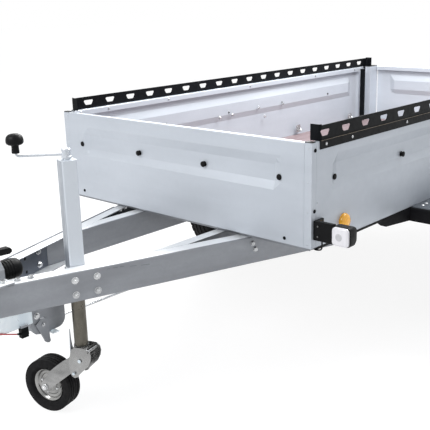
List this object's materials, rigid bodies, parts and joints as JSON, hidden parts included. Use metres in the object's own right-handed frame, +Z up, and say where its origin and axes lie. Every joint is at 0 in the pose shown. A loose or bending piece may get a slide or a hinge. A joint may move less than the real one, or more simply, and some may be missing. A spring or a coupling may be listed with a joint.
{
  "type": "tandem off-road box trailer",
  "caption": "Tandem box trailer with pressed steel walls, lashing rails, a channel drawbar, an overrun coupling and a jockey wheel; the tailgate drops.",
  "frame": {"origin": "on the ground, at the middle of the trailer's length and width", "axes": "+X forwards to the coupling, +Y to the trailer's left, +Z up"},
  "size_m": [4.629, 2, 1.1939],
  "materials": {
    "galvanised": "hot-dip galvanised, matt with faint spangle",
    "panel": "zinc-coated sheet, satin",
    "black_steel": "powder coated, semi-matt",
    "black_plastic": "moulded, fine grain",
    "tyre": "matt rubber with tread",
    "rim_silver": "silver paint",
    "plywood": "phenolic film on plywood",
    "zinc": "zinc plated",
    "lamp_red": "moulded lens",
    "cable_red": "coated wire rope"
  },
  "bodies": {
    "chassis": {"front_panel": "panel", "side_panel_left": "panel", "side_panel_right": "panel", "front_post_left": "panel", "front_post_right": "panel", "rear_post_left": "panel", "rear_post_right": "panel", "floor_board": "plywood", "lashing_rail_left": "black_steel", "lashing_rail_right": "black_steel", "drawbar_beam_left": "galvanised", "drawbar_beam_right": "galvanised", "chassis_rail_left": "galvanised", "chassis_rail_right": "galvanised", "bearer_1": "galvanised", "bearer_2": "galvanised", "rear_bearer": "galvanised", "axle_front": "galvanised", "axle_rear": "galvanised", "mudguard_left": "black_plastic", "mudguard_right": "black_plastic", "marker_lamp_left": "black_plastic", "marker_lamp_right": "black_plastic", "rear_lamp_left": "lamp_red", "rear_lamp_right": "lamp_red", "overrun_housing": "galvanised", "brake_relay": "galvanised", "coupling_head": "zinc", "bellows": "black_plastic", "handbrake_lever": "black_plastic", "brake_rod": "zinc", "breakaway_cable": "cable_red", "jockey_clamp": "galvanised", "jockey_post": "galvanised", "jockey_crank": "zinc"},
    "tailgate": {"tailgate": "panel"},
    "jockey_slide": {"jockey_tube": "zinc"},
    "jockey_swivel": {"jockey_head": "zinc", "jockey_fork": "zinc"},
    "jockey_wheel": {"jockey_tyre": "tyre", "jockey_rim": "rim_silver"},
    "wheel_front_left": {"tyre_front_left": "tyre", "rim_front_left": "rim_silver"},
    "wheel_front_right": {"tyre_front_right": "tyre", "rim_front_right": "rim_silver"},
    "wheel_rear_left": {"tyre_rear_left": "tyre", "rim_rear_left": "rim_silver"},
    "wheel_rear_right": {"tyre_rear_right": "tyre", "rim_rear_right": "rim_silver"}
  },
  "joints": [
    {"name": "tailgate_hinge", "type": "hinge", "parent": "chassis", "child": "tailgate", "pos_m": [-2.308, 0, 0.679], "axis": [0, -1, 0], "range_deg": [0, 180]},
    {"name": "jockey_wind", "type": "slide", "parent": "chassis", "child": "jockey_slide", "axis": [0, 0, 1], "range_m": [-0.04, 0.1]},
    {"name": "jockey_turn", "type": "hinge", "parent": "jockey_slide", "child": "jockey_swivel", "pos_m": [1.345, 0.11154, 0.262], "axis": [0, 0, 1], "continuous": true},
    {"name": "jockey_spin", "type": "hinge", "parent": "jockey_swivel", "child": "jockey_wheel", "pos_m": [1.38988, -0.05139, 0.116], "axis": [0.9641, 0.2656, 0], "continuous": true},
    {"name": "spin_front_left", "type": "hinge", "parent": "chassis", "child": "wheel_front_left", "pos_m": [-0.69, 0.892, 0.307], "axis": [0, 1, 0], "continuous": true},
    {"name": "spin_front_right", "type": "hinge", "parent": "chassis", "child": "wheel_front_right", "pos_m": [-0.69, -0.892, 0.307], "axis": [0, 1, 0], "continuous": true},
    {"name": "spin_rear_left", "type": "hinge", "parent": "chassis", "child": "wheel_rear_left", "pos_m": [-1.37, 0.892, 0.307], "axis": [0, 1, 0], "continuous": true},
    {"name": "spin_rear_right", "type": "hinge", "parent": "chassis", "child": "wheel_rear_right", "pos_m": [-1.37, -0.892, 0.307], "axis": [0, 1, 0], "continuous": true}
  ]
}
